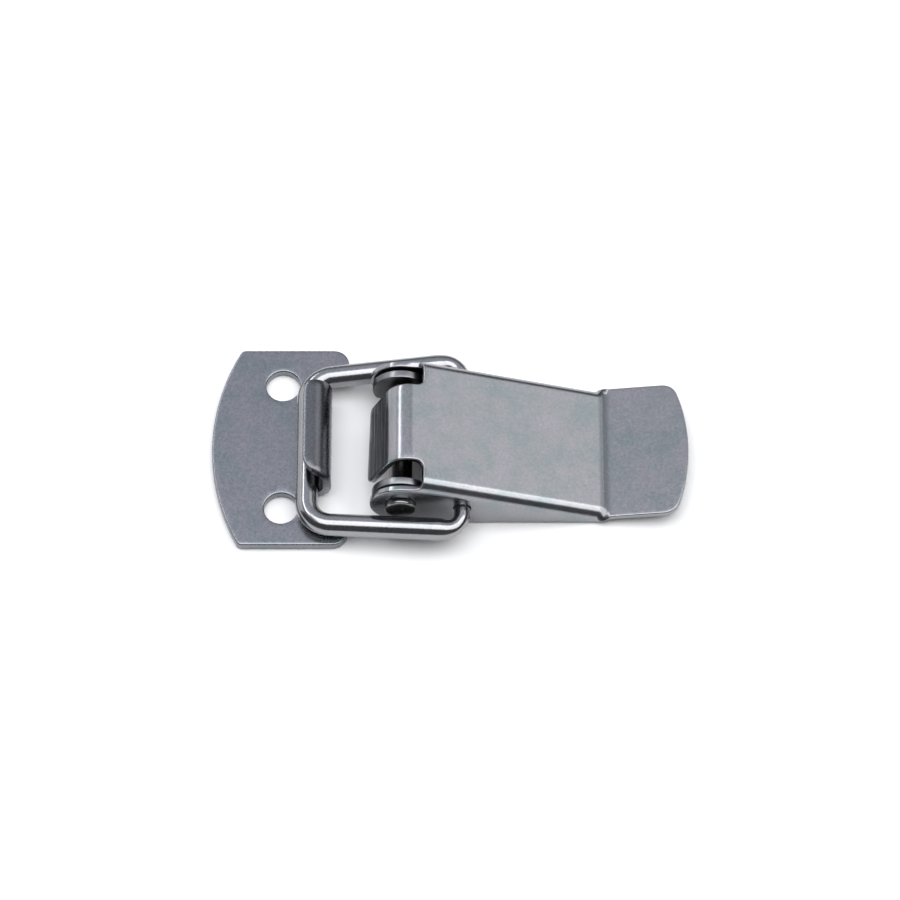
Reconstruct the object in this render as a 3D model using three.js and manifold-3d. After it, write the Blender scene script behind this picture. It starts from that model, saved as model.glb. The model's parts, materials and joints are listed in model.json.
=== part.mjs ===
// Over-centre toggle latch in folded sheet steel: a keeper plate with a hook, and a lever on a
// riveted base plate that pulls a wire bail into the hook. Millimetres, +Z up, the mounting
// plane at z = 0, +X from the keeper towards the thumb tab, the latch closed.
import * as THREE from 'three';
import { mergeVertices } from 'three/addons/utils/BufferGeometryUtils.js';
import Module from 'manifold-3d';

// ---------- driving dimensions ----------
const overallLength = 72;
const halfLength = overallLength / 2;

// Each piece has side play, and lies where it settled across the latch.
const keeperCentreY = 0.53;
const leverCentreY = -0.8;
const bailCentreY = -1.12;

const keeper = {
  thickness: 1.4,
  halfWidth: 16.83,
  endBulge: 4.25,          // rise of the curved outer end over its corners
  endCornerRadius: 0.9,
  lobeEndX: -15.4,
  lobeInnerY: 11.6,
  lobeCornerRadius: 2.3,
  lobeInnerRadius: 1.0,
  reliefX: -21.6,          // blind end of the relief slots beside the hook
  holeX: -25.4,
  holeSpacing: 21.1,
  holeRadius: 2.55,
};

const hook = {
  halfWidth: 8,
  outerFaceX: -17.85,
  seatRadius: 1.7,         // inside radius of the lower bend
  crownRadius: 1.8,        // inside radius of the upper bend
  height: 8.1,
  lipEndX: -22.0,
  farCornerRadius: 1.7,
  nearCornerRadius: 3.0,
};

const pivot = { x: -7.4, z: 5.7 };
const bailPivot = { x: 1.8, z: 4.6 };

const lever = {
  height: 12,              // top of the bend above the mounting plane
  thickness: 0.9,
  halfWidth: 11.1,
  sideBendRadius: 1.9,     // outside radius between the panel and the flanges
  slope: 19,               // degrees that the panel falls towards the tab
  tongueHalfWidth: 6.5,
  tongueSlope: 62,
  tongueBendRadius: 3.3,
  tongueEnd: { x: -12.5, z: 4.5 },
  panelEndX: 23.04,
  tabRise: 8.5,            // degrees that the tab rises towards its end
  tabBendRadius: 1.2,
  tabHalfWidth: 11.05,
  tabEndBulge: 2.1,
  tabCornerRadius: 2.4,
  notchX: -3.9,            // end of the corner notches beside the tongue
  earRadius: 4.6,
  flangeBottom: 0.3,
  flangeTailX: 20.7,
};

const base = {
  thickness: 1.2,
  halfWidth: 9.72,
  bendRadius: 1.8,
  earRadius: 4.3,
  frontX: -4.2,
  earRootX: -0.6,
  endX: 18.5,
  cornerRadius: 2.5,
  screwHoleRadius: 2.15,
  screwHolesX: [3, 13],
};

const rivet = {
  shankRadius: 1.75,
  headRadius: 2.35,
  headThickness: 0.8,      // the formed head, on the -Y side
  tailThickness: 0.1,      // the peened tail, on the +Y side
  headEdge: 0.2,
  headGap: 0.05,
};

const wire = {
  radius: 1.73,
  crossbar: { x: -21.49, z: 3.3 },
  crossbarHalfWidth: 12.4,  // centreline, at the hook
  crossbarShiftY: -0.15,   // the loop is a little askew
  pivotHalfWidth: 14.55,   // centreline, at the lever
  hookBendRadius: 3.9,
  endBendRadius: 2.5,
  endRadius: 1.2,
  neckLength: 3.0,         // length over which the wire thins towards its ends
  endDepth: 8.5,           // how far from the middle the turned-in ends stop
};

const runningClearance = 0.09;
const arcStep = 9;         // degrees between points on an arc
const roundSegments = 32;

// ---------- colours ----------
const steel = (color, roughness) =>
  new THREE.MeshStandardMaterial({ color, roughness, metalness: 1 });
const materials = {
  keeper: steel(0x85868c, 0.42),
  lever: steel(0x9a9ca2, 0.45),
  base: steel(0x8c8e93, 0.45),
  rivet: steel(0xa6a3a2, 0.3),
  bail: steel(0xb0afb2, 0.22),
};

// ---------- joins and cuts ----------
const wasm = await Module();
wasm.setup();

function toSolid(geometry) {
  const bare = geometry.clone();
  bare.deleteAttribute('normal');
  bare.deleteAttribute('uv');
  const merged = mergeVertices(bare, 1e-5);
  return new wasm.Manifold(new wasm.Mesh({
    numProp: 3,
    vertProperties: new Float32Array(merged.attributes.position.array),
    triVerts: new Uint32Array(merged.index.array),
  }));
}

function toMesh(name, solid, material) {
  const { vertProperties, triVerts } = solid.getMesh();
  const geometry = new THREE.BufferGeometry();
  geometry.setAttribute('position', new THREE.BufferAttribute(vertProperties, 3));
  geometry.setIndex(new THREE.BufferAttribute(triVerts, 1));
  geometry.computeVertexNormals();
  const mesh = new THREE.Mesh(geometry, material);
  mesh.name = name;
  return mesh;
}

const radians = THREE.MathUtils.degToRad;
const unionOf = (solids) => solids.reduce((sum, next) => sum.add(next));
const headingOf = (degrees) =>
  new THREE.Vector2(Math.cos(radians(degrees)), Math.sin(radians(degrees)));
const leftOf = (degrees) => headingOf(degrees + 90);

// ---------- prisms on the three planes ----------
function extrude(points, depth) {
  const shape = new THREE.Shape(points);
  return new THREE.ExtrudeGeometry(shape, { depth, bevelEnabled: false, curveSegments: 1 });
}

function prismXY(points, zLow, zHigh) {
  return toSolid(extrude(points, zHigh - zLow).translate(0, 0, zLow));
}

// The points are (x, z) pairs, and the prism runs along Y.
function prismXZ(points, yLow, yHigh) {
  return toSolid(extrude(points, yHigh - yLow).rotateX(Math.PI / 2).translate(0, yHigh, 0));
}

// The points are (y, z) pairs, and the prism runs along X.
function prismYZ(points, xLow, xHigh) {
  const turned = extrude(points, xHigh - xLow).rotateX(Math.PI / 2).rotateZ(Math.PI / 2);
  return toSolid(turned.translate(xLow, 0, 0));
}

function rodY(x, z, radius, yLow, yHigh) {
  const rod = new THREE.CylinderGeometry(radius, radius, yHigh - yLow, roundSegments);
  return toSolid(rod.translate(x, (yLow + yHigh) / 2, z));
}

function rodZ(x, y, radius, zLow, zHigh) {
  const rod = new THREE.CylinderGeometry(radius, radius, zHigh - zLow, roundSegments);
  return toSolid(rod.rotateX(Math.PI / 2).translate(x, y, (zLow + zHigh) / 2));
}

// ---------- outlines ----------
const point = (x, y, radius = 0) => ({ x, y, radius });

// A closed outline whose corners are rounded by the radius that each point carries.
function roundedOutline(corners) {
  const outline = [];
  corners.forEach((corner, i) => {
    const here = new THREE.Vector2(corner.x, corner.y);
    const before = corners[(i + corners.length - 1) % corners.length];
    const after = corners[(i + 1) % corners.length];
    const back = new THREE.Vector2(before.x, before.y).sub(here).normalize();
    const ahead = new THREE.Vector2(after.x, after.y).sub(here).normalize();
    if (!corner.radius) {
      outline.push(here);
      return;
    }
    const halfAngle = Math.acos(back.dot(ahead)) / 2;
    const toCentre = corner.radius / Math.sin(halfAngle);
    const middle = back.clone().add(ahead).normalize();
    const centre = here.clone().addScaledVector(middle, toCentre);
    const reach = corner.radius / Math.tan(halfAngle);
    const start = here.clone().addScaledVector(back, reach).sub(centre);
    const end = here.clone().addScaledVector(ahead, reach).sub(centre);
    let sweep = end.angle() - start.angle();
    if (sweep > Math.PI) sweep -= 2 * Math.PI;
    if (sweep < -Math.PI) sweep += 2 * Math.PI;
    const steps = Math.max(2, Math.round(Math.abs(sweep) / radians(arcStep)));
    for (let k = 0; k <= steps; k += 1) {
      const turned = start.clone().rotateAround(new THREE.Vector2(), (sweep * k) / steps);
      outline.push(turned.add(centre));
    }
  });
  return outline;
}

// Points on the arc that bulges by `bulge` beyond the chord from a to b, clear of both ends.
function bulgedSide(a, b, bulge, clear, steps = 16) {
  const chord = b.clone().sub(a);
  const half = chord.length() / 2;
  const radius = (half * half + bulge * bulge) / (2 * bulge);
  const out = new THREE.Vector2(chord.y, -chord.x).normalize();
  const centre = a.clone().add(b).multiplyScalar(0.5).addScaledVector(out, bulge - radius);
  const sweep = 2 * Math.asin(half / radius);
  const points = [];
  for (let k = 1; k < steps; k += 1) {
    const p = a.clone().rotateAround(centre, (sweep * k) / steps);
    if (Math.min(p.distanceTo(a), p.distanceTo(b)) > clear) points.push(p);
  }
  return points;
}

// The section of a folded strip. Its upper face starts at `start` on `heading`, and follows the
// moves: { run } is a flat length, { turn, radius } a bend by degrees, left positive, whose
// radius is that of the upper face.
function foldedStrip(start, heading, thickness, moves) {
  const upper = [];
  const lower = [];
  const at = start.clone();
  let angle = heading;
  const mark = () => {
    upper.push(at.clone());
    lower.push(at.clone().addScaledVector(leftOf(angle), -thickness));
  };
  mark();
  for (const move of moves) {
    if (move.run) {
      at.addScaledVector(headingOf(angle), move.run);
      mark();
      continue;
    }
    const side = Math.sign(move.turn);
    const centre = at.clone().addScaledVector(leftOf(angle), side * move.radius);
    const steps = Math.ceil(Math.abs(move.turn) / arcStep);
    for (let k = 0; k < steps; k += 1) {
      angle += move.turn / steps;
      at.copy(centre).addScaledVector(leftOf(angle), -side * move.radius);
      mark();
    }
  }
  return [...upper, ...lower.reverse()];
}

// ---------- keeper plate ----------
function keeperPlate() {
  const k = keeper;
  const cornerX = -halfLength + k.endBulge;
  const endArc = bulgedSide(
    new THREE.Vector2(cornerX, k.halfWidth), new THREE.Vector2(cornerX, -k.halfWidth),
    k.endBulge, k.endCornerRadius);
  const outline = roundedOutline([
    point(k.reliefX, hook.halfWidth, 0),
    point(k.reliefX, k.lobeInnerY, (k.lobeInnerY - hook.halfWidth) * 0.45),
    point(k.lobeEndX, k.lobeInnerY, k.lobeInnerRadius),
    point(k.lobeEndX, k.halfWidth, k.lobeCornerRadius),
    point(cornerX, k.halfWidth, k.endCornerRadius),
    ...endArc,
    point(cornerX, -k.halfWidth, k.endCornerRadius),
    point(k.lobeEndX, -k.halfWidth, k.lobeCornerRadius),
    point(k.lobeEndX, -k.lobeInnerY, k.lobeInnerRadius),
    point(k.reliefX, -k.lobeInnerY, (k.lobeInnerY - hook.halfWidth) * 0.45),
    point(k.reliefX, -hook.halfWidth, 0),
  ]);
  const plate = prismXY(outline, 0, k.thickness);

  const innerFaceX = hook.outerFaceX - k.thickness;
  const overlap = 3;
  const bendX = innerFaceX - hook.seatRadius;
  const start = new THREE.Vector2(bendX - overlap, k.thickness);
  const riser = hook.height - 2 * k.thickness - hook.seatRadius - hook.crownRadius;
  const lip = innerFaceX - hook.crownRadius - hook.lipEndX;
  const section = foldedStrip(start, 0, k.thickness, [
    { run: overlap },
    { turn: 90, radius: hook.seatRadius },
    { run: riser },
    { turn: 90, radius: hook.crownRadius },
    { run: lip },
  ]);
  const w = hook.halfWidth;
  const strip = prismXZ(section, -w, w);
  const lipTrim = prismXY(roundedOutline([
    point(hook.lipEndX, -w, hook.nearCornerRadius),
    point(hook.outerFaceX + 1, -w),
    point(hook.outerFaceX + 1, w),
    point(hook.lipEndX, w, hook.farCornerRadius),
  ]), k.thickness + hook.seatRadius, hook.height + 1);
  const lowerPart = prismXY([
    new THREE.Vector2(bendX - overlap, -w), new THREE.Vector2(hook.outerFaceX + 1, -w),
    new THREE.Vector2(hook.outerFaceX + 1, w), new THREE.Vector2(bendX - overlap, w),
  ], -1, k.thickness + hook.seatRadius);
  const hookSolid = strip.intersect(lipTrim.add(lowerPart));
  const holes = [-1, 1].map((side) =>
    rodZ(k.holeX, (side * k.holeSpacing) / 2, k.holeRadius, -1, k.thickness + 1));
  return plate.add(hookSolid).subtract(unionOf(holes)).translate(0, keeperCentreY, 0);
}

// ---------- lever ----------
function leverBody() {
  const l = lever;
  const t = l.thickness;
  const tongueTurn = -(l.tongueSlope + l.slope);
  const tongueTopZ = l.height - l.tongueBendRadius * (1 - Math.cos(radians(l.tongueSlope)));
  const tongueStraight = (tongueTopZ - l.tongueEnd.z) / Math.sin(radians(l.tongueSlope));
  const tongueTop = new THREE.Vector2(l.tongueEnd.x, l.tongueEnd.z)
    .addScaledVector(headingOf(l.tongueSlope), tongueStraight);
  const bendCentre = tongueTop.clone().addScaledVector(leftOf(l.tongueSlope), -l.tongueBendRadius);
  const panelStart = bendCentre.clone().addScaledVector(leftOf(-l.slope), l.tongueBendRadius);
  const panelLength = (l.panelEndX - panelStart.x) / Math.cos(radians(l.slope));
  const tabTurn = l.slope + l.tabRise;
  const tabLength = (halfLength - l.panelEndX) / Math.cos(radians(l.tabRise)) + 1;
  const section = foldedStrip(new THREE.Vector2(l.tongueEnd.x, l.tongueEnd.z), l.tongueSlope, t, [
    { run: tongueStraight },
    { turn: tongueTurn, radius: l.tongueBendRadius },
    { run: panelLength },
    { turn: tabTurn, radius: l.tabBendRadius },
    { run: tabLength },
  ]);
  const narrow = prismXZ(section, -l.tongueHalfWidth, l.tongueHalfWidth);

  // Channel: the panel with its side bends and flanges, trimmed to the side outline.
  const topAt = (x) => panelStart.y - (x - panelStart.x) * Math.tan(radians(l.slope));
  const reach = 16;
  const outer = l.halfWidth;
  const inner = outer - t;
  const channelSection = [
    ...roundedOutline([
      point(-outer, 0, l.sideBendRadius), point(-outer, -reach), point(-inner, -reach),
      point(-inner, -t, l.sideBendRadius - t), point(inner, -t, l.sideBendRadius - t),
      point(inner, -reach), point(outer, -reach), point(outer, 0, l.sideBendRadius),
    ]),
  ];
  const channelStart = -10;
  const channelLength = 46;
  const channel = prismYZ(channelSection, 0, channelLength)
    .rotate([0, l.slope, 0])
    .translate(pivot.x + channelStart, 0, topAt(pivot.x + channelStart));
  const earTop = pivot.z + l.earRadius;
  const headroom = 14;
  const sideOutline = [
    new THREE.Vector2(pivot.x, earTop),
    new THREE.Vector2(pivot.x, pivot.z),
    new THREE.Vector2(pivot.x - l.earRadius * 0.35, pivot.z - l.earRadius * 0.93),
    new THREE.Vector2(pivot.x + 1.6, l.flangeBottom),
    new THREE.Vector2(l.flangeTailX, l.flangeBottom),
    new THREE.Vector2(l.panelEndX, topAt(l.panelEndX) - t),
    new THREE.Vector2(l.panelEndX, headroom),
    new THREE.Vector2(l.notchX, headroom),
    new THREE.Vector2(l.notchX, earTop),
  ];
  const side = prismXZ(sideOutline, -outer - 1, outer + 1)
    .add(rodY(pivot.x, pivot.z, l.earRadius, -outer - 1, outer + 1));
  const body = channel.intersect(side);

  // Thumb tab: full width from the tab bend to the curved end.
  const cornerX = halfLength - l.tabEndBulge;
  const tabOutline = roundedOutline([
    point(l.panelEndX, l.tabHalfWidth),
    point(l.panelEndX, -l.tabHalfWidth),
    point(cornerX, -l.tabHalfWidth, l.tabCornerRadius),
    ...bulgedSide(new THREE.Vector2(cornerX, -l.tabHalfWidth),
      new THREE.Vector2(cornerX, l.tabHalfWidth), l.tabEndBulge, l.tabCornerRadius),
    point(cornerX, l.tabHalfWidth, l.tabCornerRadius),
  ]);
  const tab = prismXZ(section, -l.tabHalfWidth, l.tabHalfWidth)
    .intersect(prismXY(tabOutline, -2, headroom));
  const narrowTrim = prismXY([
    new THREE.Vector2(-halfLength, -outer), new THREE.Vector2(l.panelEndX + 0.5, -outer),
    new THREE.Vector2(l.panelEndX + 0.5, outer), new THREE.Vector2(-halfLength, outer),
  ], -2, headroom + 2);
  const spine = narrow.intersect(narrowTrim);
  const pivotHole = rodY(pivot.x, pivot.z, rivet.shankRadius + runningClearance, -20, 20);
  const bailHole = rodY(bailPivot.x, bailPivot.z, wire.endRadius + runningClearance, -20, 20);
  return body.add(spine).add(tab).subtract(pivotHole.add(bailHole)).translate(0, leverCentreY, 0);
}

// ---------- base plate ----------
function basePlate() {
  const b = base;
  const t = b.thickness;
  const flat = prismXY(roundedOutline([
    point(b.earRootX, -b.halfWidth),
    point(b.endX, -b.halfWidth, b.cornerRadius),
    point(b.endX, b.halfWidth, b.cornerRadius),
    point(b.earRootX, b.halfWidth),
  ]), 0, t);
  const wall = b.halfWidth;
  const rim = 14;
  const channelSection = roundedOutline([
    point(-wall, rim), point(-wall, 0, b.bendRadius), point(wall, 0, b.bendRadius),
    point(wall, rim), point(wall - t, rim), point(wall - t, t, b.bendRadius - t),
    point(-wall + t, t, b.bendRadius - t), point(-wall + t, rim),
  ]);
  const channel = prismYZ(channelSection, -14, b.earRootX + 0.01);
  const earOutline = [
    new THREE.Vector2(pivot.x - b.earRadius * 0.5, pivot.z - b.earRadius * 0.86),
    new THREE.Vector2(b.frontX, 0),
    new THREE.Vector2(b.earRootX + 0.01, 0),
    new THREE.Vector2(b.earRootX + 0.01, t),
    new THREE.Vector2(pivot.x + b.earRadius * 0.94, pivot.z - b.earRadius * 0.34),
    new THREE.Vector2(pivot.x, pivot.z),
  ];
  const tongueGap = prismXY([
    new THREE.Vector2(-14, -wall + b.bendRadius), new THREE.Vector2(b.frontX, -wall + b.bendRadius),
    new THREE.Vector2(b.frontX, wall - b.bendRadius), new THREE.Vector2(-14, wall - b.bendRadius),
  ], -1, rim);
  const ears = channel.intersect(
    prismXZ(earOutline, -wall - 1, wall + 1)
      .add(rodY(pivot.x, pivot.z, b.earRadius, -wall - 1, wall + 1))).subtract(tongueGap);
  const pivotHole = rodY(pivot.x, pivot.z, rivet.shankRadius + runningClearance, -20, 20);
  const screwHoles = unionOf(b.screwHolesX.map((x) => rodZ(x, 0, b.screwHoleRadius, -1, t + 1)));
  return flat.add(ears).subtract(pivotHole.add(screwHoles)).translate(0, leverCentreY, 0);
}

// ---------- pivot rivet ----------
function pivotRivet() {
  const r = rivet;
  const inside = lever.halfWidth + r.headGap;
  const headEnd = -inside - r.headThickness;
  const tailEnd = inside + r.tailThickness;
  const profile = [
    [0, headEnd], [r.headRadius - r.headEdge, headEnd], [r.headRadius, headEnd + r.headEdge],
    [r.headRadius, -inside], [r.shankRadius, -inside], [r.shankRadius, inside],
    [r.headRadius, inside], [r.headRadius, tailEnd], [0, tailEnd],
  ].map(([x, y]) => new THREE.Vector2(x, y));
  const turned = new THREE.LatheGeometry(profile, roundSegments);
  return toSolid(turned.translate(pivot.x, leverCentreY, pivot.z));
}

// ---------- wire bail ----------
// The bail is planar: s runs from the crossbar to the lever pivot, and y across the latch.
function bail() {
  const w = wire;
  const along = new THREE.Vector3(bailPivot.x - w.crossbar.x, 0, bailPivot.z - w.crossbar.z);
  const length = along.length();
  along.normalize();
  const place = (s, y) =>
    new THREE.Vector3(w.crossbar.x, 0, w.crossbar.z).addScaledVector(along, s)
      .setY(y + w.crossbarShiftY * (1 - s / length));

  const path = roundedOutline([
    point(0, 0),
    point(0, w.crossbarHalfWidth, w.hookBendRadius),
    point(length, w.pivotHalfWidth, w.endBendRadius),
    point(length, w.endDepth),
  ]);
  const lengths = [0];
  path.slice(1).forEach((p, i) => lengths.push(lengths[i] + p.distanceTo(path[i])));
  const total = lengths[lengths.length - 1];
  const endLength = total - (w.pivotHalfWidth - w.endDepth) - w.endBendRadius * 0.4;
  const radiusAt = (distance) => {
    const share = THREE.MathUtils.smoothstep(distance, endLength - w.neckLength, endLength);
    return THREE.MathUtils.lerp(w.radius, w.endRadius, share);
  };

  // Rings along the half path, mirrored to the other side, and closed at both ends.
  const half = path.map((p, i) => ({ s: p.x, y: p.y, radius: radiusAt(lengths[i]) }));
  const necks = 4;
  const armEnd = half.findIndex((p) => p.s > length * 0.5);
  const from = half[armEnd - 1];
  const to = half[armEnd];
  const armLength = lengths[armEnd] - lengths[armEnd - 1];
  for (let k = 1; k <= necks; k += 1) {
    const back = (w.neckLength * (necks - k + 0.5)) / necks / armLength;
    const share = 1 - back;
    half.splice(armEnd - 1 + k, 0, {
      s: THREE.MathUtils.lerp(from.s, to.s, share),
      y: THREE.MathUtils.lerp(from.y, to.y, share),
      radius: radiusAt(lengths[armEnd - 1] + share * armLength),
    });
  }
  const other = half.slice(1).map((p) => ({ ...p, y: -p.y })).reverse();
  const rings = [...other, ...half];
  const sides = 16;
  const across = new THREE.Vector3().crossVectors(along, new THREE.Vector3(0, 1, 0)).normalize();
  const positions = [];
  rings.forEach((ring, i) => {
    const centre = place(ring.s, ring.y);
    const before = rings[Math.max(i - 1, 0)];
    const after = rings[Math.min(i + 1, rings.length - 1)];
    const tangent = place(after.s, after.y).sub(place(before.s, before.y)).normalize();
    const inPlane = new THREE.Vector3().crossVectors(across, tangent).normalize();
    for (let k = 0; k < sides; k += 1) {
      const angle = (2 * Math.PI * k) / sides;
      const rim = centre.clone()
        .addScaledVector(inPlane, ring.radius * Math.cos(angle))
        .addScaledVector(across, ring.radius * Math.sin(angle));
      positions.push(rim.x, rim.y, rim.z);
    }
  });
  const index = [];
  for (let i = 0; i + 1 < rings.length; i += 1) {
    for (let k = 0; k < sides; k += 1) {
      const a = i * sides + k;
      const b = i * sides + ((k + 1) % sides);
      index.push(a, b, a + sides, b, b + sides, a + sides);
    }
  }
  const last = (rings.length - 1) * sides;
  for (let k = 1; k + 1 < sides; k += 1) {
    index.push(0, k + 1, k);
    index.push(last, last + k, last + k + 1);
  }
  const geometry = new THREE.BufferGeometry();
  geometry.setAttribute('position', new THREE.Float32BufferAttribute(positions, 3));
  geometry.setIndex(index);
  return toSolid(geometry).translate(0, bailCentreY, 0);
}

// ---------- assembly ----------
const latch = new THREE.Group();
latch.add(
  toMesh('keeper_plate', keeperPlate(), materials.keeper),
  toMesh('base_plate', basePlate(), materials.base),
  toMesh('pivot_rivet', pivotRivet(), materials.rivet),
  toMesh('lever', leverBody(), materials.lever),
  toMesh('bail', bail(), materials.bail),
);

export default latch;
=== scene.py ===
"""Looks for the over-centre toggle latch: folded satin steel, a bright wire bail and a rivet."""

import json
import math
from collections import namedtuple

import bmesh
import bpy
import numpy as np
from mathutils import Matrix, Vector
from mathutils.geometry import delaunay_2d_cdt


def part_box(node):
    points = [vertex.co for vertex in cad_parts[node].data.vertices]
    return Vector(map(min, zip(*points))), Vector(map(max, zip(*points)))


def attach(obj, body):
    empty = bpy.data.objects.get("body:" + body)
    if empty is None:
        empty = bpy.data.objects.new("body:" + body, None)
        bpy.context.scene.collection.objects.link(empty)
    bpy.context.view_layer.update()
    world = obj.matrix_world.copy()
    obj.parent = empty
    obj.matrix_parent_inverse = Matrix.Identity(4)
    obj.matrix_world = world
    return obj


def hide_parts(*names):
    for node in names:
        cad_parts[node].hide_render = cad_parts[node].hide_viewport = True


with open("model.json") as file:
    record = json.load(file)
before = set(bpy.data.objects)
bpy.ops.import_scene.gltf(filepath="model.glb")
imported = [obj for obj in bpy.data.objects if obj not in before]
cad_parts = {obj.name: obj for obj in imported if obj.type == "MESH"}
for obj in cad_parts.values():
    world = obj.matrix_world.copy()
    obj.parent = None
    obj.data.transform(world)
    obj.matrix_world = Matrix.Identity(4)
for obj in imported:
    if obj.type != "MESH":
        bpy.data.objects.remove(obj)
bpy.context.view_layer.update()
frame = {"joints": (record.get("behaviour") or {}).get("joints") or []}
MM = 0.001


def box_mm(node):
    """Lowest and highest corners of a CAD node in millimetres."""
    low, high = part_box(node)
    return np.array(low) / MM, np.array(high) / MM


# ---------- sizes in millimetres, from the frame where it holds them ----------
keeper_low, keeper_high = box_mm("keeper_plate")
lever_low, lever_high = box_mm("lever")
base_low, base_high = box_mm("base_plate")
rivet_low, rivet_high = box_mm("pivot_rivet")
bail_low, bail_high = box_mm("bail")

KEEPER_Y = (keeper_low[1] + keeper_high[1]) / 2
LEVER_Y = (lever_low[1] + lever_high[1]) / 2
BAIL_Y_AT_PIVOT = (bail_low[1] + bail_high[1]) / 2
PIVOT = (rivet_low + rivet_high) / 2
BAIL_JOINT = next(j for j in frame["joints"] if j["name"] == "bail_hinge")
BAIL_PIVOT = np.array(BAIL_JOINT["pos_m"]) / MM

KEEPER_T = 1.4
KEEPER_HALF = (keeper_high[1] - keeper_low[1]) / 2
END_BULGE = 4.25
LOBE_INNER = 11.6
RELIEF_X = -21.6
HOLE_X = -25.4
HOLE_SPACING = 21.1
HOLE_R = 2.55
HOOK_HALF = 8.0
HOOK_FACE_X = -17.85
SEAT_R = 1.7
CROWN_R = 1.8
HOOK_HEIGHT = keeper_high[2]
LIP_X = -22.0
NEAR_LIP_CORNER = 3.0
FAR_LIP_CORNER = 1.7
RELIEF_CORNER = 0.4
SLOT_ROUNDING = 0.42
LOBE_CORNER = 1.0
SIDE_CORNER = 2.3
END_CORNER = 0.9

LEVER_T = 0.9
LEVER_HALF = (lever_high[1] - lever_low[1]) / 2
SIDE_R = 1.9
SLOPE = math.radians(19)
TONGUE_HALF = 6.5
TONGUE_SLOPE = math.radians(62)
TONGUE_R = 3.3
TONGUE_Z = 4.5
TONGUE_SKEW = 1.0
TONGUE_CORNER = 1.0
PANEL_END_X = 23.04
TAB_RISE = math.radians(8.5)
TAB_BEND_R = 1.2
TAB_HALF = 11.05
TAB_BULGE = 2.1
TAB_CORNER = 2.4
NOTCH_X = -3.9
NOTCH_INNER_CORNER = 1.1
NOTCH_OUTER_CORNER = 1.0
EAR_R = 4.6
EAR_END = 247
EAR_TOP_LEAD = 1.2
FLANGE_START = 1.6
FLANGE_STOP = 0.6
TAB_START = 0.9
FLANGE_Z = lever_low[2]
TAIL_X = 20.7
FLARE_LEAD = 0.7
FLARE_LENGTH = 1.7

BASE_T = 1.2
BASE_HALF = (base_high[1] - base_low[1]) / 2
BASE_BEND_R = 1.8
BASE_EAR_R = base_high[2] - PIVOT[2]
BASE_FRONT_X = -4.2
BASE_ROOT_X = -0.6
BASE_CORNER = 2.5
BASE_RELIEF = 0.5
BASE_EAR_SETBACK = 0.6
BASE_EAR_TAIL = (0.94, -0.34)
BASE_FLARE_LEAD = 0.5
BASE_FLARE_LENGTH = 0.9
BASE_SCREW_X = (3.0, 13.0)
BASE_SCREW_R = 2.15

RIVET_SHANK_R = 1.75
RIVET_HEAD = 0.8
RIVET_TAIL = 0.1
RIVET_EDGE = 0.3
RIVET_CROWN = 0.1
RIVET_BURR = 0.06
RIVET_HOLE_R = RIVET_SHANK_R + 0.09

WIRE_R = 1.7
WIRE_END_R = 1.2
CROSSBAR = (-21.49, 3.3)
CROSSBAR_HALF = 12.4
CROSSBAR_SHIFT = -0.15
WIRE_HALF = 14.38
HOOK_BEND_R = 3.9
END_BEND_R = 2.5
WIRE_END_Y = 8.5
WIRE_HOLE_R = WIRE_END_R + 0.1
WIRE_NECK = 4.0
WIRE_STEP = 0.3
WIRE_END_EDGE = 0.25


# ---------- outlines ----------
def rounded(corners, step=10):
    """A closed outline from (x, y, radius) corners, each rounded by its radius."""
    out = []
    for i, (x, y, radius) in enumerate(corners):
        here = np.array([x, y])
        back = np.array(corners[i - 1][:2]) - here
        ahead = np.array(corners[(i + 1) % len(corners)][:2]) - here
        if radius == 0:
            out.append(here)
            continue
        back, ahead = back / np.linalg.norm(back), ahead / np.linalg.norm(ahead)
        half = math.acos(np.clip(back @ ahead, -1, 1)) / 2
        middle = (back + ahead) / np.linalg.norm(back + ahead)
        centre = here + middle * radius / math.sin(half)
        reach = radius / math.tan(half)
        start, end = here + back * reach - centre, here + ahead * reach - centre
        first = math.atan2(start[1], start[0])
        sweep = (math.atan2(end[1], end[0]) - first + math.pi) % (2 * math.pi) - math.pi
        for k in range(step + 1):
            a = first + sweep * k / step
            out.append(centre + radius * np.array([math.cos(a), math.sin(a)]))
    return np.array(out)


def bulge(a, b, rise, clear=0.0, steps=30):
    """Points between a and b, and clear of both, on the arc that rises to the right of the chord."""
    a, b = np.array(a, float), np.array(b, float)
    chord = b - a
    half = np.linalg.norm(chord) / 2
    radius = (half**2 + rise**2) / (2 * rise)
    out = np.array([chord[1], -chord[0]]) / (2 * half)
    centre = (a + b) / 2 + out * (rise - radius)
    sweep = 2 * math.asin(half / radius)
    first = math.atan2(*(a - centre)[::-1])
    angles = [first + sweep * k / steps for k in range(1, steps)]
    points = [centre + radius * np.array([math.cos(g), math.sin(g)]) for g in angles]
    return [(*p, 0) for p in points if min(np.linalg.norm(p - a), np.linalg.norm(p - b)) > clear]


def circle(x, y, radius, count=56):
    """A closed loop of count points."""
    angles = np.linspace(0, 2 * math.pi, count, endpoint=False)
    return np.stack([x + radius * np.cos(angles), y + radius * np.sin(angles)], 1)


def resample(loop, step):
    """The closed loop with points about step apart, evenly spaced."""
    closed = np.vstack([loop, loop[:1]])
    lengths = np.concatenate([[0], np.cumsum(np.linalg.norm(np.diff(closed, axis=0), axis=1))])
    count = max(12, int(round(lengths[-1] / step)))
    at = np.linspace(0, lengths[-1], count, endpoint=False)
    return np.stack([np.interp(at, lengths, closed[:, k]) for k in (0, 1)], 1)


def signed_area(loop):
    """Area of a closed loop, positive when it runs anticlockwise."""
    x, y = loop[:, 0], loop[:, 1]
    return 0.5 * np.sum(x * np.roll(y, -1) - y * np.roll(x, -1))


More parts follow.
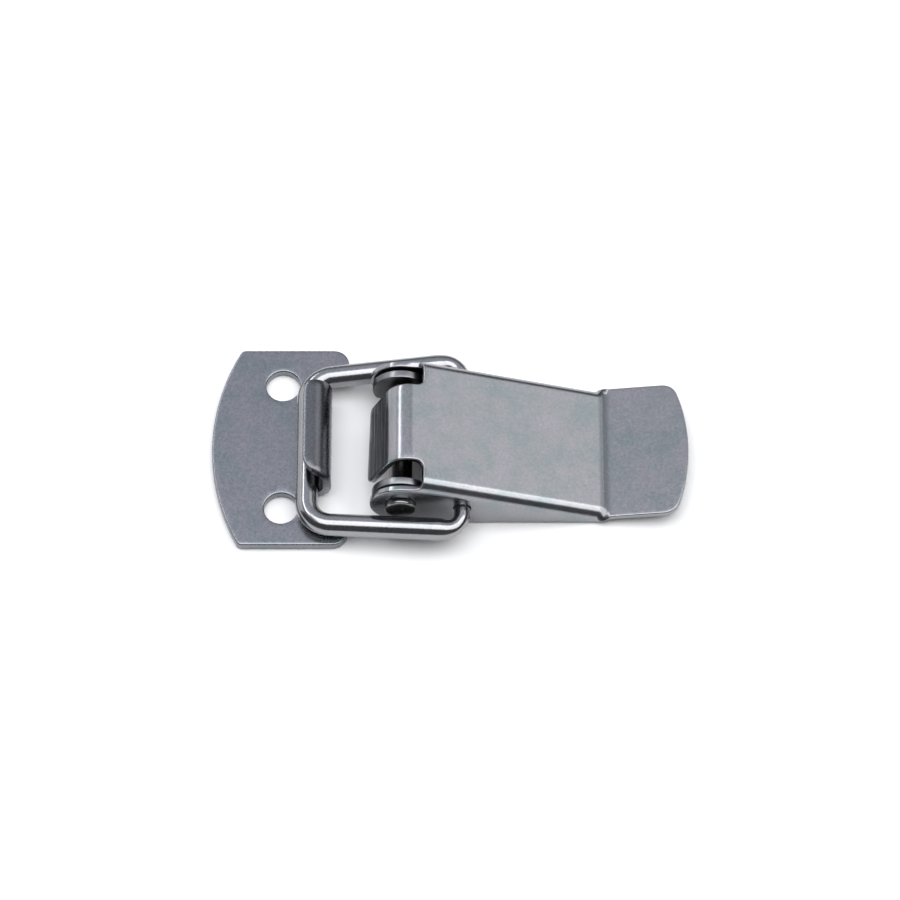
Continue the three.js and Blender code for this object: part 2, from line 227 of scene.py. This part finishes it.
def inside(points, loops):
    """Even-odd test of points against all the loops together."""
    count = np.zeros(len(points), int)
    for loop in loops:
        a, b = loop, np.roll(loop, -1, axis=0)
        crosses = (a[:, 1] > points[:, None, 1]) != (b[:, 1] > points[:, None, 1])
        with np.errstate(divide="ignore", invalid="ignore"):
            x = (b[:, 0] - a[:, 0]) * (points[:, None, 1] - a[:, 1]) / (b[:, 1] - a[:, 1]) + a[:, 0]
        count += np.sum(crosses & (points[:, None, 0] < x), axis=1)
    return count % 2 == 1


def clear_of(points, loops, gap):
    """True for each point that is further than gap from every loop point."""
    ok = np.ones(len(points), bool)
    for loop in loops:
        nearest = np.min(np.linalg.norm(points[:, None] - loop[None], axis=2), axis=1)
        ok &= nearest > gap
    return ok


# ---------- sheet metal ----------
def mesh_object(name, points, faces, material):
    """A smooth-shaded mesh object from points in millimetres."""
    mesh = bpy.data.meshes.new(name)
    mesh.from_pydata([tuple(p * MM) for p in points], [], faces)
    work = bmesh.new()
    work.from_mesh(mesh)
    bmesh.ops.recalc_face_normals(work, faces=work.faces)
    work.to_mesh(mesh)
    work.free()
    mesh.shade_smooth()
    piece = bpy.data.objects.new(name, mesh)
    bpy.context.scene.collection.objects.link(piece)
    mesh.materials.append(material)
    return piece


def sheet(name, outline, holes, thickness, lines, fold, material, roll=0.3, burr=0.1, step=0.35):
    """A folded sheet: a flat outline with holes and rounded rims, sent through fold(u, v, h).
    roll rounds the upper edge and burr the lower one; lines are the mesh lines in u and v."""
    loops = [resample(outline, step)] + [resample(hole, step * 0.8) for hole in holes]
    normals = []
    for i, loop in enumerate(loops):
        if (signed_area(loop) > 0) != (i == 0):
            loops[i] = loop = loop[::-1]
        along = np.roll(loop, -1, axis=0) - np.roll(loop, 1, axis=0)
        left = np.stack([-along[:, 1], along[:, 0]], 1)
        normals.append(left / np.linalg.norm(left, axis=1)[:, None])
    quarter = np.linspace(0, math.pi / 2, 6)
    profile = [(roll * (1 - math.sin(a)), thickness - roll * (1 - math.cos(a))) for a in quarter]
    profile += [(burr * (1 - math.cos(a)), burr * (1 - math.sin(a))) for a in quarter[::2]]
    points, faces, rings = [], [], []
    for inset, height in profile:
        ring = []
        for loop, normal in zip(loops, normals):
            ring.append(len(points) + np.arange(len(loop)))
            points.extend((*(p + n * inset), height) for p, n in zip(loop, normal))
        rings.append(ring)
    for upper, lower in zip(rings, rings[1:]):
        for one, two in zip(upper, lower):
            for k in range(len(one)):
                m = (k + 1) % len(one)
                faces.append((one[k], two[k], two[m], one[m]))
    grid = np.array(np.meshgrid(*lines)).reshape(2, -1).T
    grid = grid[inside(grid, loops)]
    grid = grid[clear_of(grid, loops, roll + 0.3)]
    for ring, height in ((rings[0], thickness), (rings[-1], 0.0)):
        rim = np.concatenate(ring)
        flat = np.vstack([np.array([points[i][:2] for i in rim]), grid])
        first = len(points)
        points.extend((*p, height) for p in grid)
        index = np.concatenate([rim, first + np.arange(len(grid))])
        edges, start = [], 0
        for part in ring:
            edges += [(start + k, start + (k + 1) % len(part)) for k in range(len(part))]
            start += len(part)
        made = delaunay_2d_cdt([Vector(p) for p in flat], edges, [], 0, 1e-5)
        triangles = np.array(made[2])
        corner = np.array([tuple(p) for p in made[0]])
        source = np.array([ids[0] for ids in made[3]])
        middle = corner[triangles].mean(1)
        border = [np.array([points[i][:2] for i in part]) for part in ring]
        kept = triangles[inside(middle, border)]
        faces.extend(tuple(int(index[source[i]]) for i in face) for face in kept)
    flat_points = np.array(points)
    placed = fold(flat_points[:, 0], flat_points[:, 1], flat_points[:, 2])
    return mesh_object(name, placed, faces, material)


def follow(u, start, heading, moves):
    """Position and left normal in the XZ plane at distance u along a path of runs and bends.
    A run is (length,), a bend is (angle, radius) with left positive. Before 0 it is straight."""
    point = np.array(start, float)
    angle = heading
    place = np.zeros((len(u), 2))
    turned = np.full(len(u), heading)
    direction = np.array([math.cos(angle), math.sin(angle)])
    place[:] = point + np.outer(np.minimum(u, 0), direction)
    at = 0.0
    for i, move in enumerate(moves):
        last = i == len(moves) - 1
        direction = np.array([math.cos(angle), math.sin(angle)])
        left = np.array([-direction[1], direction[0]])
        if len(move) == 1:
            here = (u > at) if last else (u > at) & (u <= at + move[0])
            place[here] = point + np.outer(u[here] - at, direction)
            turned[here] = angle
            point = point + direction * move[0]
            at += move[0]
            continue
        sweep, radius = move
        side = math.copysign(1, sweep)
        length = abs(sweep) * radius
        centre = point + left * side * radius
        here = (u > at) & (u <= at + length)
        a = angle + side * (u[here] - at) / radius
        place[here] = centre - side * radius * np.stack([-np.sin(a), np.cos(a)], 1)
        turned[here] = a
        angle += sweep
        point = centre - side * radius * np.array([-math.sin(angle), math.cos(angle)])
        at += length
    return place, np.stack([-np.sin(turned), np.cos(turned)], 1)


def spaced(*stops):
    """Mesh lines from (start, end, step) stretches."""
    parts = [np.linspace(a, b, max(2, int(math.ceil((b - a) / step)) + 1)) for a, b, step in stops]
    return np.unique(np.round(np.concatenate(parts), 4))


# ---------- materials ----------
CLOUD_SCALE, GRAIN_SCALE, RIPPLE_SCALE, RIB_SCALE = 230, 2600, 900, 1700
GRAIN_TINT = 0.5
PATCHINESS = 0.9
COOL_SHIFT, WARM_SHIFT = (-1.0, -0.4, -0.5), (0.7, 0.2, 0.5)
RELIEF_HEIGHT = 0.03
RIB_STRETCH = 0.03
RIB_DEPTH = 14.0
Band = namedtuple("Band", "axis start full fading end depth")


def steel(name, colour, roughness, mottle, bump=0.12, bands=(), ribs=None):
    """Satin stainless steel: mottled tint, fine grain, drawn lines from forming, and painted shade.
    roughness is its lowest and highest value, and each Band paints shade over a stretch in millimetres.
    ribs (start, full) adds drawn lines along Y where x falls from start to full."""
    material = bpy.data.materials.new(name)
    material.use_nodes = True
    nodes, links = material.node_tree.nodes, material.node_tree.links
    shader = nodes["Principled BSDF"]
    shader.inputs["Metallic"].default_value = 1.0
    place = nodes.new("ShaderNodeTexCoord").outputs["Object"]
    split = nodes.new("ShaderNodeSeparateXYZ")
    links.new(place, split.inputs["Vector"])

    def noise(scale, detail, source=place):
        node = nodes.new("ShaderNodeTexNoise")
        node.inputs["Scale"].default_value = scale
        node.inputs["Detail"].default_value = detail
        node.inputs["Roughness"].default_value = 0.6
        links.new(source, node.inputs["Vector"])
        return node.outputs["Fac"]

    def maths(operation, *values):
        node = nodes.new("ShaderNodeMath")
        node.operation = operation
        for socket, value in zip(node.inputs, values):
            if isinstance(value, (int, float)):
                socket.default_value = value
            else:
                links.new(value, socket)
        return node.outputs["Value"]

    def rise(axis, start, full):
        """0 at start and 1 at full, in millimetres along an axis of the piece."""
        node = nodes.new("ShaderNodeMapRange")
        node.interpolation_type = "SMOOTHSTEP"
        node.inputs["From Min"].default_value = start * MM
        node.inputs["From Max"].default_value = full * MM
        links.new(split.outputs[axis], node.inputs["Value"])
        return node.outputs["Result"]

    def shifted(shift):
        """The colour with its red, green and blue each changed by a share of the mottle."""
        return (*(c * (1 + mottle * w) for c, w in zip(colour, shift)), 1)

    cloud, grain, ripple = noise(CLOUD_SCALE, 3), noise(GRAIN_SCALE, 4), noise(RIPPLE_SCALE, 2)
    tint = nodes.new("ShaderNodeValToRGB")
    links.new(cloud, tint.inputs["Fac"])
    tint.color_ramp.elements.new(0.5)
    cool, plain, warm = tint.color_ramp.elements
    cool.position, warm.position = 0.32, 0.68
    cool.color, plain.color, warm.color = shifted(COOL_SHIFT), (*colour, 1), shifted(WARM_SHIFT)
    shade = maths("MULTIPLY_ADD", grain, GRAIN_TINT, 1 - GRAIN_TINT / 2)
    for band in bands:
        mask = maths("MINIMUM", rise(band.axis, band.start, band.full),
                     rise(band.axis, band.end, band.fading))
        patchy = maths("MULTIPLY", mask, maths("MULTIPLY_ADD", cloud, PATCHINESS, 1 - PATCHINESS / 2))
        shade = maths("MULTIPLY", shade, maths("MULTIPLY_ADD", patchy, -band.depth, 1.0))
    scaled = nodes.new("ShaderNodeVectorMath")
    scaled.operation = "SCALE"
    links.new(tint.outputs["Color"], scaled.inputs[0])
    links.new(shade, scaled.inputs["Scale"])
    links.new(scaled.outputs["Vector"], shader.inputs["Base Color"])

    low, high = roughness
    links.new(maths("MULTIPLY_ADD", grain, high - low, low), shader.inputs["Roughness"])
    height = maths("ADD", grain, ripple)
    if ribs:
        stretch = nodes.new("ShaderNodeMapping")
        stretch.inputs["Scale"].default_value = (1.0, RIB_STRETCH, 1.0)
        links.new(place, stretch.inputs["Vector"])
        drawn = maths("MULTIPLY", noise(RIB_SCALE, 2, stretch.outputs["Vector"]), rise("X", *ribs))
        height = maths("MULTIPLY_ADD", drawn, RIB_DEPTH, height)
    relief = nodes.new("ShaderNodeBump")
    relief.inputs["Strength"].default_value = bump
    relief.inputs["Distance"].default_value = RELIEF_HEIGHT * MM
    links.new(height, relief.inputs["Height"])
    links.new(relief.outputs["Normal"], shader.inputs["Normal"])
    return material


# Painted shade: the raised hook of the keeper is darkened in patches, above the flat plate.
HOOK_PAINTED_SHADE = Band("Z", start=2.0, full=4.5, fading=30.0, end=31.0, depth=0.42)
# Painted shade in the crease where the panel bends up into the thumb tab.
TAB_BEND_PAINTED_SHADE = Band("X", start=22.3, full=22.9, fading=23.5, end=24.4, depth=0.34)
EAR_SHADE = Band("Z", start=-2.0, full=-1.0, fading=8.4, end=9.8, depth=0.6)
TONGUE_RIBS = (-8.0, -10.0)

keeper_steel = steel("keeper_satin", (0.23, 0.236, 0.255), (0.20, 0.34), mottle=0.12, bump=0.08,
                     bands=[HOOK_PAINTED_SHADE])
lever_steel = steel("lever_satin", (0.285, 0.292, 0.304), (0.18, 0.30), mottle=0.14, bump=0.14,
                    bands=[TAB_BEND_PAINTED_SHADE], ribs=TONGUE_RIBS)
base_steel = steel("base_satin", (0.24, 0.242, 0.25), (0.24, 0.40), mottle=0.08, bands=[EAR_SHADE])
rivet_steel = steel("rivet_turned", (0.26, 0.25, 0.255), (0.14, 0.34), mottle=0.10)
wire_steel = steel("wire_drawn", (0.30, 0.302, 0.31), (0.10, 0.26), mottle=0.06)


# ---------- keeper plate ----------
def keeper_plate():
    """A flat plate with a rounded end, whose middle strip is rolled up into the hook."""
    inner_x = HOOK_FACE_X - KEEPER_T
    bend_x = inner_x - SEAT_R
    riser = HOOK_HEIGHT - 2 * KEEPER_T - SEAT_R - CROWN_R
    lip = inner_x - CROWN_R - LIP_X
    turn = math.pi / 2
    strip_end = bend_x + SEAT_R * turn + riser + CROWN_R * turn + lip
    corner_x = keeper_low[0] + END_BULGE
    lobe_x = keeper_high[0]
    w, half = HOOK_HALF, KEEPER_HALF
    slot_r = (LOBE_INNER - w) * SLOT_ROUNDING
    end_bulge = bulge((corner_x, half), (corner_x, -half), END_BULGE, 1.2)
    outline = rounded([
        (RELIEF_X, -w, RELIEF_CORNER), (strip_end, -w, NEAR_LIP_CORNER),
        (strip_end, w, FAR_LIP_CORNER), (RELIEF_X, w, RELIEF_CORNER),
        (RELIEF_X, LOBE_INNER, slot_r), (lobe_x, LOBE_INNER, LOBE_CORNER), (lobe_x, half, SIDE_CORNER),
        (corner_x, half, END_CORNER), *end_bulge, (corner_x, -half, END_CORNER),
        (lobe_x, -half, SIDE_CORNER), (lobe_x, -LOBE_INNER, LOBE_CORNER), (RELIEF_X, -LOBE_INNER, slot_r),
    ])
    holes = [circle(HOLE_X, side * HOLE_SPACING / 2, HOLE_R) for side in (-1, 1)]

    def fold(u, v, h):
        place, normal = follow(
            u - bend_x, (bend_x, KEEPER_T), 0.0, [(turn, SEAT_R), (riser,), (turn, CROWN_R), (lip,)])
        flat = (np.abs(v) > w + 0.2)[:, None]
        place = np.where(flat, np.stack([u, np.full_like(u, KEEPER_T)], 1), place)
        normal = np.where(flat, np.array([0.0, 1.0]), normal)
        below = (KEEPER_T - h)[:, None]
        xz = place - normal * below
        return np.stack([xz[:, 0], v + KEEPER_Y, xz[:, 1]], 1)

    lines = (spaced((-36, bend_x, 1.0), (bend_x, strip_end, 0.22), (strip_end, -12, 0.5)),
             spaced((-17, 17, 0.8)))
    return sheet("keeper_pressing", outline, holes, KEEPER_T, lines, fold, keeper_steel)


# ---------- lever ----------
def lever_pressing():
    """A channel with an ear on each side, a rolled tongue between them and a thumb tab."""
    turn = TONGUE_SLOPE + SLOPE
    centre_z = lever_high[2] - TONGUE_R
    straight = (centre_z + TONGUE_R * math.cos(TONGUE_SLOPE) - TONGUE_Z) / math.sin(TONGUE_SLOPE)
    centre_x = lever_low[0] + straight * math.cos(TONGUE_SLOPE) + TONGUE_R * math.sin(TONGUE_SLOPE)
    start = np.array([centre_x + TONGUE_R * math.sin(SLOPE), centre_z + TONGUE_R * math.cos(SLOPE)])
    panel = (PANEL_END_X - start[0]) / math.cos(SLOPE)
    tab_turn = SLOPE + TAB_RISE
    tab_arc = TAB_BEND_R * tab_turn
    bend_end = np.array([panel + tab_arc])
    after, _ = follow(bend_end, start, -SLOPE, [(panel,), (tab_turn, TAB_BEND_R), (1,)])
    tab = (lever_high[0] - LEVER_T * math.sin(TAB_RISE) - after[0, 0]) / math.cos(TAB_RISE)
    tip = panel + tab_arc + tab
    tongue_arc = TONGUE_R * turn
    tongue_end = tongue_arc + straight

    flat_half = LEVER_HALF - SIDE_R
    arc = SIDE_R * math.pi / 2

    def unfold(x, z):
        """Flat (u, v) of a point on the near flange or its bend, given in the side view."""
        dx, dz = x - start[0], z - start[1]
        s = dx * math.cos(SLOPE) - dz * math.sin(SLOPE)
        depth = -(dx * math.sin(SLOPE) + dz * math.cos(SLOPE))
        if depth >= SIDE_R:
            return s, flat_half + arc + depth - SIDE_R
        return s, flat_half + SIDE_R * math.acos(np.clip(1 - depth / SIDE_R, -1, 1))

    ear = []
    ear_top = PIVOT[2] + EAR_R
    for x in np.linspace(NOTCH_X - EAR_TOP_LEAD, PIVOT[0], 8):
        ear.append((x, ear_top))
    for a in np.linspace(90, EAR_END, 40)[1:]:
        ear.append((PIVOT[0] + EAR_R * math.cos(math.radians(a)),
                    PIVOT[2] + EAR_R * math.sin(math.radians(a))))
    for x in np.linspace(PIVOT[0] + FLANGE_START, TAIL_X, 20):
        ear.append((x, FLANGE_Z))
    flange = [unfold(x, z) for x, z in ear]
    notch_u = (NOTCH_X - start[0]) / math.cos(SLOPE)
    notch_v = unfold(NOTCH_X, ear_top)[1]
    corner_u = tip - TAB_BULGE
    far = [(notch_u, TONGUE_HALF, NOTCH_INNER_CORNER), (notch_u, notch_v, NOTCH_OUTER_CORNER)]
    far += [(u, v, 0) for u, v in flange]
    far += [(panel - FLANGE_STOP, flat_half + arc, 0.3), (panel + TAB_START, TAB_HALF, 0.6)]
    far += [(corner_u, TAB_HALF, TAB_CORNER)]
    near = [(u, -v, r) for u, v, r in far][::-1]
    tab_end = bulge((corner_u, -TAB_HALF), (corner_u, TAB_HALF), TAB_BULGE, 2.3)
    outline = rounded([
        (-tongue_end + TONGUE_SKEW, TONGUE_HALF - TONGUE_SKEW, TONGUE_CORNER),
        *far, *tab_end[::-1], *near,
        (-tongue_end + 0.1, -TONGUE_HALF - 0.4, TONGUE_CORNER),
    ])
    holes = []
    for centre, radius in ((PIVOT, RIVET_HOLE_R), (BAIL_PIVOT, WIRE_HOLE_R)):
        u, v = unfold(centre[0], centre[2])
        holes += [circle(u, side * v, radius, 48) for side in (-1, 1)]

    def fold(u, v, h):
        ahead, up = follow(u, start, -SLOPE, [(panel,), (tab_turn, TAB_BEND_R), (tab + 5,)])
        behind, away = follow(-u, start, math.pi - SLOPE, [(turn, TONGUE_R), (straight + 5,)])
        tongue = ((np.abs(v) < TONGUE_HALF + 0.9) & (u < 0))[:, None]
        place = np.where(tongue, behind, ahead)
        normal = np.where(tongue, -away, up)
        fade = np.clip((u - (panel - FLARE_LEAD)) / FLARE_LENGTH, 0, 1)
        bend = (math.pi / 2) * (1 - fade**2 * (3 - 2 * fade)) + 1e-4
        out = np.abs(v) - flat_half
        share = np.clip(out / arc, 0, 1)
        angle = bend * share
        radius = arc / bend
        beyond = np.maximum(out - arc, 0)
        y = np.minimum(np.abs(v), flat_half) + radius * np.sin(angle) + beyond * np.cos(bend)
        depth = radius * (1 - np.cos(angle)) + beyond * np.sin(bend)
        lower = LEVER_T - h
        y = np.where(out > 0, y, np.abs(v)) - np.sin(angle) * lower
        drop = np.where(out > 0, depth, 0) + np.cos(angle) * lower
        xz = place - normal * drop[:, None]
        return np.stack([xz[:, 0], np.sign(v) * y + LEVER_Y, xz[:, 1]], 1)

    lines = (spaced((-14, -tongue_arc, 0.8), (-tongue_arc, 0.3, 0.2), (0.3, panel - 2, 0.9),
                    (panel - 2, panel + 2, 0.14), (panel + 2, tip, 0.9)),
             spaced((-22, -LEVER_HALF - 2, 0.9), (-LEVER_HALF - 2, -flat_half + 0.2, 0.22),
                    (-flat_half + 0.2, flat_half - 0.2, 1.0), (flat_half - 0.2, LEVER_HALF + 2, 0.22),
                    (LEVER_HALF + 2, 22, 0.9)))
    return sheet("lever_pressing", outline, holes, LEVER_T, lines, fold, lever_steel, roll=0.22)


# ---------- base plate ----------
def base_pressing():
    """A flat plate with an ear turned up on each side at its front."""
    flat_half = BASE_HALF - BASE_BEND_R
    arc = BASE_BEND_R * math.pi / 2
    tail_x, tail_z = BASE_EAR_TAIL
    ear = [(BASE_ROOT_X - BASE_EAR_SETBACK, BASE_BEND_R)]
    ear.append((PIVOT[0] + BASE_EAR_R * tail_x, PIVOT[2] + BASE_EAR_R * tail_z))
    for a in np.linspace(-20, 210, 60)[1:]:
        ear.append((PIVOT[0] + BASE_EAR_R * math.cos(math.radians(a)),
                    PIVOT[2] + BASE_EAR_R * math.sin(math.radians(a))))
    ear.append((BASE_FRONT_X - 0.2, BASE_BEND_R))
    far = [(x, flat_half + arc + z - BASE_BEND_R, 0) for x, z in ear]
    side = BASE_HALF - 0.05
    far_side = [(base_high[0], side, BASE_CORNER), (BASE_ROOT_X, side, BASE_RELIEF),
                *far, (BASE_FRONT_X, flat_half, BASE_RELIEF)]
    near_side = [(x, -y, r) for x, y, r in far_side][::-1]
    outline = rounded([*far_side, *near_side])
    holes = [circle(x, 0, BASE_SCREW_R, 48) for x in BASE_SCREW_X]
    pivot_v = flat_half + arc + PIVOT[2] - BASE_BEND_R
    holes += [circle(PIVOT[0], side * pivot_v, RIVET_HOLE_R, 48) for side in (-1, 1)]

    def fold(u, v, h):
        fade = np.clip((u - (BASE_ROOT_X - BASE_FLARE_LEAD)) / BASE_FLARE_LENGTH, 0, 1)
        bend = (math.pi / 2) * (1 - fade**2 * (3 - 2 * fade)) + 1e-4
        out = np.abs(v) - flat_half
        angle = bend * np.clip(out / arc, 0, 1)
        radius = arc / bend
        beyond = np.maximum(out - arc, 0)
        y = np.minimum(np.abs(v), flat_half) + np.where(out > 0, radius * np.sin(angle), 0)
        y = y + beyond * np.cos(bend) - np.sin(angle) * h
        z = np.where(out > 0, radius * (1 - np.cos(angle)), 0)
        z = z + beyond * np.sin(bend) + np.cos(angle) * h
        return np.stack([u, np.sign(v) * y + LEVER_Y, z], 1)

    lines = (spaced((-13, 0.5, 0.4), (0.5, 19, 1.0)),
             spaced((-20, -flat_half - arc, 0.8), (-flat_half - arc, -flat_half, 0.2),
                    (-flat_half, flat_half, 1.2), (flat_half, flat_half + arc, 0.2),
                    (flat_half + arc, 20, 0.8)))
    return sheet("base_pressing", outline, holes, BASE_T, lines, fold, base_steel, roll=0.18)


# ---------- turned and swept pieces ----------
def swept(name, path, radii, flats, material, sides=40):
    """A tube along a path in millimetres, with rounded ends."""
    path, radii = np.array(path), np.array(radii)
    tangents = np.gradient(path, axis=0)
    tangents /= np.linalg.norm(tangents, axis=1)[:, None]
    angles = np.linspace(0, 2 * math.pi, sides, endpoint=False)
    points, faces = [], []
    for centre, tangent, radius in zip(path, tangents, radii):
        side = np.cross(flats, tangent)
        side /= np.linalg.norm(side)
        lift = np.cross(tangent, side)
        points.extend(centre + radius * (math.cos(a) * side + math.sin(a) * lift) for a in angles)
    for i in range(len(path) - 1):
        for k in range(sides):
            m = (k + 1) % sides
            faces.append((i * sides + k, i * sides + m, (i + 1) * sides + m, (i + 1) * sides + k))
    last = (len(path) - 1) * sides
    faces.append(tuple(range(sides))[::-1])
    faces.append(tuple(last + k for k in range(sides)))
    return mesh_object(name, np.array(points), faces, material)


def bail_wire():
    """A loop of wire whose two ends turn inward and thin down to pass through the lever."""
    across = np.array([BAIL_PIVOT[0] - CROSSBAR[0], 0, BAIL_PIVOT[2] - CROSSBAR[1]])
    length = np.linalg.norm(across)
    along = across / length
    half = rounded([(0, 0, 0), (0, CROSSBAR_HALF, HOOK_BEND_R), (length, WIRE_HALF, END_BEND_R),
                    (length, WIRE_END_Y, 0)], 40)
    steps = np.concatenate([[0], np.cumsum(np.linalg.norm(np.diff(half, axis=0), axis=1))])
    at = np.arange(0, steps[-1], WIRE_STEP)
    half = np.stack([np.interp(at, steps, half[:, k]) for k in (0, 1)], 1)
    neck = steps[-1] - (WIRE_HALF - WIRE_END_Y) - END_BEND_R * 0.3
    share = np.clip((at - neck) / WIRE_NECK + 0.5, 0, 1)
    radii = WIRE_R + (WIRE_END_R - WIRE_R) * share**2 * (3 - 2 * share)
    tip = np.clip((steps[-1] - at) / WIRE_STEP, 0, 1)
    radii = radii - WIRE_END_EDGE * (1 - np.sqrt(1 - (1 - tip) ** 2))
    whole = np.vstack([half[:0:-1] * (1, -1), half])
    radii = np.concatenate([radii[:0:-1], radii])
    start = np.array([CROSSBAR[0], BAIL_Y_AT_PIVOT, CROSSBAR[1]])
    sideways = [y + CROSSBAR_SHIFT * (1 - s / length) for s, y in whole]
    path = [start + along * s + np.array([0, y, 0]) for (s, _), y in zip(whole, sideways)]
    flats = np.cross(along, [0, 1, 0])
    return swept("bail_wire", path, radii, flats, wire_steel)


def rivet_turning():
    """A rivet with a low formed head on the near side and a flush tail on the far side."""
    head_r = (rivet_high[0] - rivet_low[0]) / 2
    outside, inside = rivet_low[1], rivet_low[1] + RIVET_HEAD
    head = [(0.0, outside + RIVET_CROWN)]
    for share in np.linspace(0.1, 0.9, 8):
        head.append(((head_r - RIVET_EDGE) * share, outside + RIVET_CROWN * (1 - share)))
    for a in np.linspace(math.pi / 2, 0, 7):
        head.append((head_r - RIVET_EDGE * (1 - math.cos(a)), outside + RIVET_EDGE * (1 - math.sin(a))))
    head += [(head_r, inside - RIVET_BURR), (head_r - RIVET_BURR, inside), (RIVET_SHANK_R, inside)]
    outside, inside = rivet_high[1], rivet_high[1] - RIVET_TAIL
    tail = [(RIVET_SHANK_R, inside), (head_r - 0.05, inside), (head_r, inside + 0.03)]
    tail += [(head_r - RIVET_BURR, outside - 0.01), (head_r - 0.4, outside), (0.0, outside)]
    profile = head + tail
    sides = 72
    points, faces = [], []
    for r, y in profile:
        for k in range(sides):
            a = 2 * math.pi * k / sides
            points.append(np.array([PIVOT[0] + r * math.cos(a), y, PIVOT[2] + r * math.sin(a)]))
    for i in range(len(profile) - 1):
        for k in range(sides):
            m = (k + 1) % sides
            faces.append((i * sides + k, i * sides + m, (i + 1) * sides + m, (i + 1) * sides + k))
    piece = mesh_object("rivet_turning", np.array(points), faces, rivet_steel)
    work = bmesh.new()
    work.from_mesh(piece.data)
    bmesh.ops.remove_doubles(work, verts=work.verts, dist=1e-7)
    bmesh.ops.dissolve_degenerate(work, dist=1e-8, edges=work.edges)
    bmesh.ops.recalc_face_normals(work, faces=work.faces)
    work.to_mesh(piece.data)
    work.free()
    return piece


# ---------- assembly ----------
for build, node, body, slot in (
    (keeper_plate, "keeper_plate", "base", "keeper_steel"),
    (base_pressing, "base_plate", "base", "base_steel"),
    (rivet_turning, "pivot_rivet", "base", "rivet_steel"),
    (lever_pressing, "lever", "lever", "lever_steel"),
    (bail_wire, "bail", "bail", "wire_steel"),
):
    piece = build()
    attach(piece, body)
    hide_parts(node)


# ---------- studio ----------
ROOM_DARK = (0.11, 0.11, 0.12)
ROOM_LIGHT = (0.72, 0.75, 0.84)
FLOOR_REACH = 4.0
FLOOR_DROP = 0.00005
CAMERA_TILT = math.radians(29)
CAMERA_DISTANCE = 0.712
CAMERA_TARGET = Vector((0.0, 0.0007, 0.0))
CAMERA_FOCAL = 188


def floor():
    """A pale matt floor."""
    corners = [(x * FLOOR_REACH, y * FLOOR_REACH, 0) for x, y in ((-1, -1), (1, -1), (1, 1), (-1, 1))]
    mesh = bpy.data.meshes.new("floor")
    mesh.from_pydata(corners, [], [(0, 1, 2, 3)])
    material = bpy.data.materials.new("floor_paper")
    material.use_nodes = True
    shader = material.node_tree.nodes["Principled BSDF"]
    shader.inputs["Base Color"].default_value = (0.95, 0.95, 0.95, 1)
    shader.inputs["Roughness"].default_value = 0.9
    shader.inputs["Specular IOR Level"].default_value = 0.0
    mesh.materials.append(material)
    piece = bpy.data.objects.new("floor", mesh)
    piece.location.z = -FLOOR_DROP
    bpy.context.scene.collection.objects.link(piece)


def room():
    """A plain room: dark walls, rising to soft grey overhead and beyond the latch."""
    world = bpy.data.worlds.new("room")
    world.use_nodes = True
    nodes, links = world.node_tree.nodes, world.node_tree.links
    direction = nodes.new("ShaderNodeTexCoord")
    toward_light = nodes.new("ShaderNodeVectorMath")
    toward_light.operation = "DOT_PRODUCT"
    toward_light.inputs[1].default_value = (-0.15, 0.45, 0.88)
    links.new(direction.outputs["Generated"], toward_light.inputs[0])
    fade = nodes.new("ShaderNodeValToRGB")
    links.new(toward_light.outputs["Value"], fade.inputs["Fac"])
    dark, light = fade.color_ramp.elements
    dark.position, dark.color = 0.55, (*ROOM_DARK, 1)
    light.position, light.color = 0.95, (*ROOM_LIGHT, 1)
    links.new(fade.outputs["Color"], nodes["Background"].inputs["Color"])
    bpy.context.scene.world = world


def soft_box(name, direction, size, radiance):
    """A rectangular lamp 1 m away that faces the origin, its second side along the Y axis.
    radiance is what a mirror would show of it."""
    data = bpy.data.lights.new(name, "AREA")
    data.shape = "RECTANGLE"
    data.size, data.size_y = size
    data.energy = radiance * math.pi * size[0] * size[1]
    outward = Vector(direction).normalized()
    across = Vector((0, 1, 0)).cross(outward).normalized()
    turned = Matrix((across, outward.cross(across), outward)).transposed()
    lamp = bpy.data.objects.new(name, data)
    lamp.matrix_world = Matrix.Translation(outward) @ turned.to_4x4()
    bpy.context.scene.collection.objects.link(lamp)


def studio():
    """The floor, the room and the four lamps."""
    floor()
    room()
    soft_box("overhead", (0.2, -0.1, 0.975), (1.7, 0.86), 2.7)
    soft_box("left_strip", (-0.5, 0.48, 0.72), (0.11, 0.9), 6.0)
    soft_box("left_panel", (-0.86, 0.42, 0.29), (0.55, 0.8), 1.0)
    soft_box("right_panel", (0.62, 0.46, 0.64), (0.42, 0.8), 0.95)
    bpy.context.scene.view_settings.view_transform = "Standard"


def camera():
    """A long lens that looks down at the latch from the near side."""
    data = bpy.data.cameras.new("camera")
    data.sensor_width = 36
    data.lens = CAMERA_FOCAL
    data.clip_start, data.clip_end = 0.05, 20
    view = bpy.data.objects.new("camera", data)
    away = Vector((0, -math.sin(CAMERA_TILT), math.cos(CAMERA_TILT)))
    view.location = CAMERA_TARGET + away * CAMERA_DISTANCE
    view.rotation_euler = (CAMERA_TILT, 0, 0)
    bpy.context.scene.collection.objects.link(view)
    bpy.context.scene.camera = view


studio()
camera()
